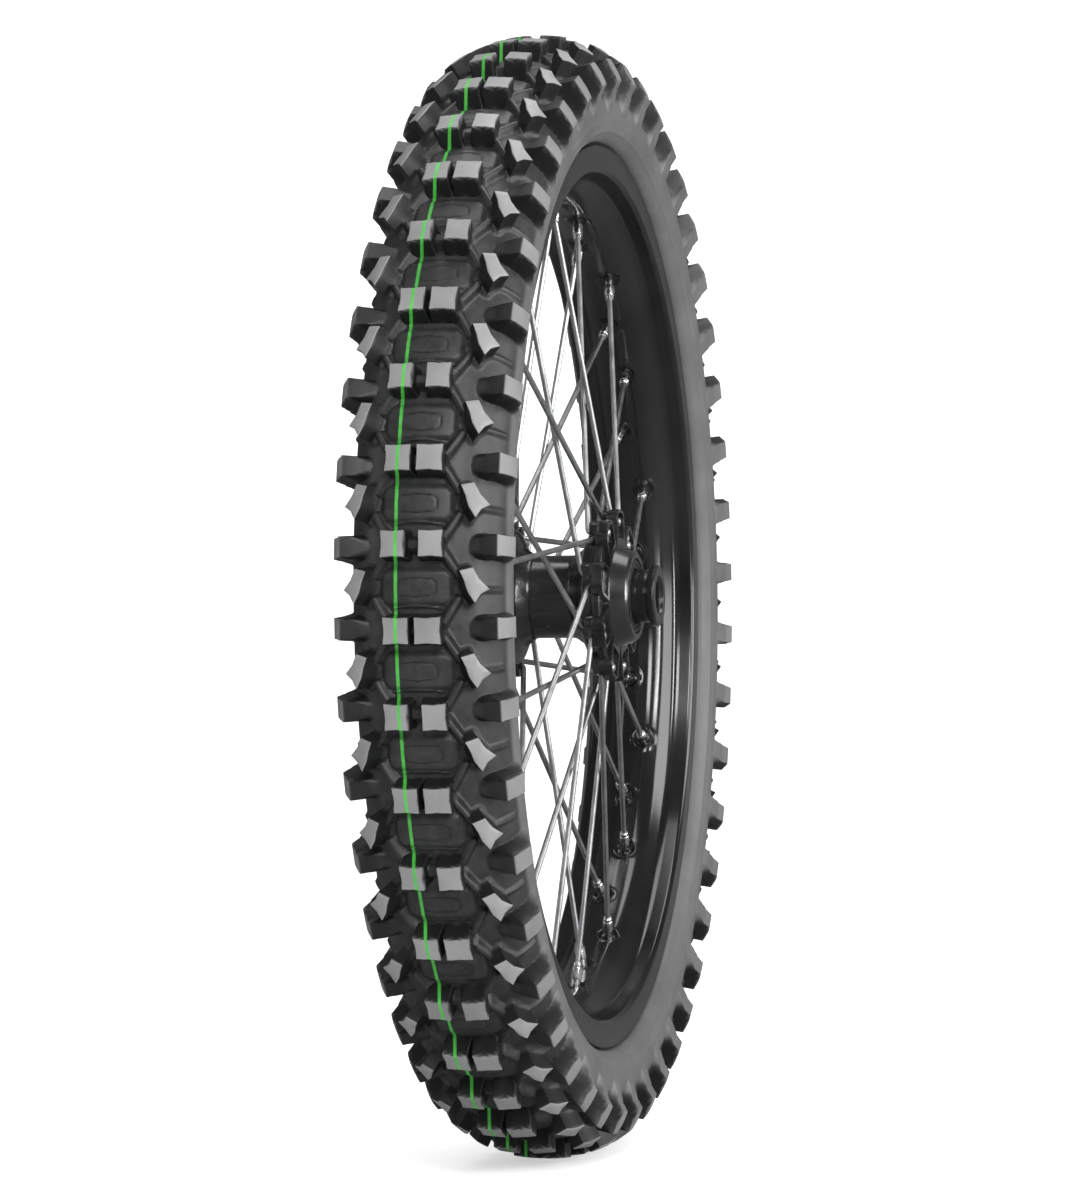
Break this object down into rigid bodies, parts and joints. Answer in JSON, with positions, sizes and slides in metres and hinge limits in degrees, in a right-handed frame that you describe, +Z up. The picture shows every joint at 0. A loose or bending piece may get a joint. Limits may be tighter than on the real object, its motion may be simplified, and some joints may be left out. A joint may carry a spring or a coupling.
{
  "type": "motorcycle wheel",
  "caption": "Spoked off-road front wheel with knobbly tube-type tyre on a laced rim, cast hub, bearings and axle collars, turning freely on its axle core",
  "frame": {"origin": "wheel centre: on the spin axis, in the centre plane of the rim and tyre", "axes": "+Y along the spin axis towards the visible right side of the wheel, +Z up, +X towards the tread that faces the viewer"},
  "size_m": [0.7, 0.132, 0.7],
  "materials": {
    "tyre_rubber": "moulded knobbly rubber, grey where it is dusty",
    "tube_rubber": "smooth butyl rubber",
    "band_rubber": "matt rubber strip",
    "rim_black": "black anodised, satin",
    "hub_black": "gloss black coating",
    "spoke_steel": "zinc plated wire",
    "valve_brass": "dull nickel over brass",
    "nut_steel": "bright plated",
    "cap_plastic": "moulded",
    "seal_rubber": "moulded nitrile lip",
    "collar_black": "black anodised, turned",
    "spacer_aluminium": "turned tube",
    "bearing_steel": "ground bearing steel"
  },
  "bodies": {
    "axle_core": {"bearing_spacer": "spacer_aluminium", "inner_race_right": "bearing_steel", "inner_race_left": "bearing_steel", "axle_collar_right": "collar_black", "axle_collar_left": "collar_black"},
    "wheel": {"bearing_circlip": "bearing_steel", "hub_shell": "hub_black", "inner_tube": "tube_rubber", "oil_seal_left": "seal_rubber", "oil_seal_right": "seal_rubber", "outer_race_left": "bearing_steel", "outer_race_right": "bearing_steel", "rim": "rim_black", "rim_band": "band_rubber", "spoke_l01": "spoke_steel", "spoke_l02": "spoke_steel", "spoke_l03": "spoke_steel", "spoke_l04": "spoke_steel", "spoke_l05": "spoke_steel", "spoke_l06": "spoke_steel", "spoke_l07": "spoke_steel", "spoke_l08": "spoke_steel", "spoke_l09": "spoke_steel", "spoke_l10": "spoke_steel", "spoke_l11": "spoke_steel", "spoke_l12": "spoke_steel", "spoke_l13": "spoke_steel", "spoke_l14": "spoke_steel", "spoke_l15": "spoke_steel", "spoke_l16": "spoke_steel", "spoke_l17": "spoke_steel", "spoke_l18": "spoke_steel", "spoke_r01": "spoke_steel", "spoke_r02": "spoke_steel", "spoke_r03": "spoke_steel", "spoke_r04": "spoke_steel", "spoke_r05": "spoke_steel", "spoke_r06": "spoke_steel", "spoke_r07": "spoke_steel", "spoke_r08": "spoke_steel", "spoke_r09": "spoke_steel", "spoke_r10": "spoke_steel", "spoke_r11": "spoke_steel", "spoke_r12": "spoke_steel", "spoke_r13": "spoke_steel", "spoke_r14": "spoke_steel", "spoke_r15": "spoke_steel", "spoke_r16": "spoke_steel", "spoke_r17": "spoke_steel", "spoke_r18": "spoke_steel", "tyre": "tyre_rubber", "valve_nut": "nut_steel", "valve_stem": "valve_brass"},
    "cage_right": {"ball_cage_right": "bearing_steel"},
    "cage_left": {"ball_cage_left": "bearing_steel"},
    "valve_cap_body": {"valve_cap": "cap_plastic"}
  },
  "joints": [
    {"name": "wheel_spin", "type": "hinge", "parent": "axle_core", "child": "wheel", "pos_m": [0, 0, 0], "axis": [0, 1, 0], "continuous": true},
    {"name": "cage_right_spin", "type": "hinge", "parent": "axle_core", "child": "cage_right", "pos_m": [0, 0, 0], "axis": [0, 1, 0], "continuous": true},
    {"name": "cage_left_spin", "type": "hinge", "parent": "axle_core", "child": "cage_left", "pos_m": [0, 0, 0], "axis": [0, 1, 0], "continuous": true},
    {"name": "valve_cap_slide", "type": "slide", "parent": "wheel", "child": "valve_cap_body", "axis": [-0.9971, 0, 0.0767], "range_m": [0, 0.015]}
  ],
  "couplings": [
    {"joint": "cage_right_spin", "follows": "wheel_spin", "ratio": 0.576},
    {"joint": "cage_left_spin", "follows": "wheel_spin", "ratio": 0.576}
  ]
}
